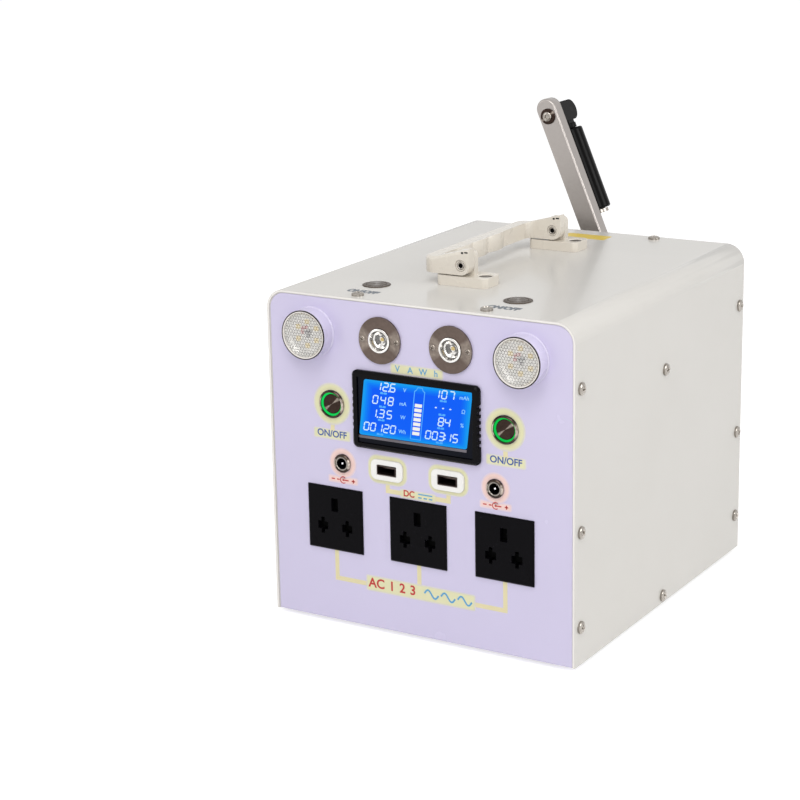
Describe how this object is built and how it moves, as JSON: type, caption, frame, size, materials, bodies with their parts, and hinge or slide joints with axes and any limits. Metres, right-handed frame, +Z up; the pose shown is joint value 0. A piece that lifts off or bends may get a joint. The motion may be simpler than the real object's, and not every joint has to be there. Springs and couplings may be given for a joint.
{
  "type": "hand crank generator",
  "caption": "Portable hand crank generator: a sheet-metal case with sockets, lamps and a meter, a folding carry handle on top and a folding-grip crank on its rear.",
  "frame": {"origin": "on the floor under the middle of the case's footprint", "axes": "+Z up, the front panel faces -Y and the crank stands behind the rear panel at +Y, +X to the right seen from the front"},
  "size_m": [0.2196, 0.3171, 0.3019],
  "materials": {
    "shell_paint": "glossy off-white powder coat",
    "panel_paint": "satin pale lilac paint",
    "zinc_steel": "zinc plated",
    "stainless": "fine brushed, bright bend edges",
    "screw_steel": "polished",
    "dark_steel": "blackened",
    "foot_rubber": "matte",
    "socket_black": "smooth moulded",
    "meter_black": "fine texture",
    "display_blue": "backlit display behind a clear window",
    "usb_white": "smooth",
    "lamp_chrome": "polished",
    "lamp_lens": "pebbled",
    "handle_plastic": "satin cream",
    "grip_black": "satin",
    "bronze": "sintered",
    "gear_steel": "machined",
    "gearbox_alloy": "machined",
    "copper": "enamelled wire",
    "cell_blue": "film wrapped cans",
    "tray_steel": "satin grey",
    "strap_black": "woven",
    "board_green": "solder mask",
    "heatsink_alloy": "anodised",
    "nylon": "moulded"
  },
  "bodies": {
    "case": {"outer_shell": "shell_paint", "front_panel": "panel_paint", "rear_panel": "shell_paint", "base_plate": "zinc_steel", "rubber_feet": "foot_rubber", "case_screws": "screw_steel", "cross_brace": "zinc_steel", "ac_socket_left": "socket_black", "ac_socket_middle": "socket_black", "ac_socket_right": "socket_black", "meter_bezel": "meter_black", "meter_display": "display_blue", "usb_bezels": "usb_white", "usb_ports": "screw_steel", "dc_jacks": "stainless", "button_barrels": "stainless", "lens_lamp_housings": "lamp_chrome", "lens_lamp_lenses": "lamp_lens", "spot_lamp_bodies": "stainless", "spot_lamp_lenses": "lamp_lens", "handle_foot_front": "handle_plastic", "handle_foot_rear": "handle_plastic", "handle_foot_screws": "dark_steel", "handle_pivot_pins": "screw_steel", "bearing_flange": "gearbox_alloy", "crank_bushes": "bronze", "idler_bushes": "bronze", "gearbox_rear_plate": "gearbox_alloy", "gearbox_front_plate": "gearbox_alloy", "gearbox_posts": "gearbox_alloy", "generator_can": "zinc_steel", "generator_end_cap": "gearbox_alloy", "battery_cells": "cell_blue", "battery_tray": "tray_steel", "battery_strap": "strap_black", "inverter_board": "board_green", "inverter_heatsink": "heatsink_alloy", "inverter_transformer": "copper", "charge_board": "board_green", "board_standoffs": "nylon"},
    "crank": {"crank_shaft": "gear_steel", "crank_hub": "screw_steel", "crank_arm": "stainless", "crank_hub_screw": "dark_steel", "knuckle_bracket": "grip_black", "knuckle_screw": "dark_steel", "grip_hinge_pin": "screw_steel", "crank_gear": "gear_steel"},
    "idler": {"idler_shaft": "gear_steel", "idler_gears": "gear_steel"},
    "rotor": {"generator_rotor": "copper", "generator_pinion": "bronze"},
    "grip_arm": {"grip_spindle": "dark_steel", "grip_end_screw": "screw_steel"},
    "grip": {"grip_sleeve": "grip_black"},
    "carry_handle": {"carry_handle": "handle_plastic"},
    "front_button_left": {"front_button_left": "stainless"},
    "front_button_right": {"front_button_right": "stainless"},
    "top_button_left": {"top_button_left": "stainless"},
    "top_button_right": {"top_button_right": "stainless"}
  },
  "joints": [
    {"name": "crank_turn", "type": "hinge", "parent": "case", "child": "crank", "pos_m": [0, 0.1321, 0.1684], "axis": [0, 1, 0], "continuous": true},
    {"name": "idler_turn", "type": "hinge", "parent": "case", "child": "idler", "pos_m": [0.02344, 0.105, 0.12781], "axis": [0, 1, 0], "continuous": true},
    {"name": "rotor_turn", "type": "hinge", "parent": "case", "child": "rotor", "pos_m": [-0.00904, 0.055, 0.10905], "axis": [0, 1, 0], "continuous": true},
    {"name": "grip_fold", "type": "hinge", "parent": "crank", "child": "grip_arm", "pos_m": [-0.051, 0.1732, 0.28972], "axis": [0.9219, 0, 0.3875], "range_deg": [0, 90]},
    {"name": "grip_spin", "type": "hinge", "parent": "grip_arm", "child": "grip", "pos_m": [-0.0341, 0.1732, 0.24952], "axis": [-0.3875, 0, 0.9219], "continuous": true},
    {"name": "handle_fold", "type": "hinge", "parent": "case", "child": "carry_handle", "pos_m": [0, -0.00075, 0.2288], "axis": [0, 1, 0], "range_deg": [0, 90]},
    {"name": "front_button_left_press", "type": "slide", "parent": "case", "child": "front_button_left", "axis": [0, 1, 0], "range_m": [0, 0.002], "stiffness_N_per_m": 400, "springref_m": -0.003},
    {"name": "front_button_right_press", "type": "slide", "parent": "case", "child": "front_button_right", "axis": [0, 1, 0], "range_m": [0, 0.002], "stiffness_N_per_m": 400, "springref_m": -0.003},
    {"name": "top_button_left_press", "type": "slide", "parent": "case", "child": "top_button_left", "axis": [0, 0, -1], "range_m": [0, 0.002], "stiffness_N_per_m": 400, "springref_m": -0.003},
    {"name": "top_button_right_press", "type": "slide", "parent": "case", "child": "top_button_right", "axis": [0, 0, -1], "range_m": [0, 0.002], "stiffness_N_per_m": 400, "springref_m": -0.003}
  ],
  "couplings": [
    {"joint": "idler_turn", "follows": "crank_turn", "ratio": -4},
    {"joint": "rotor_turn", "follows": "crank_turn", "ratio": 16}
  ]
}
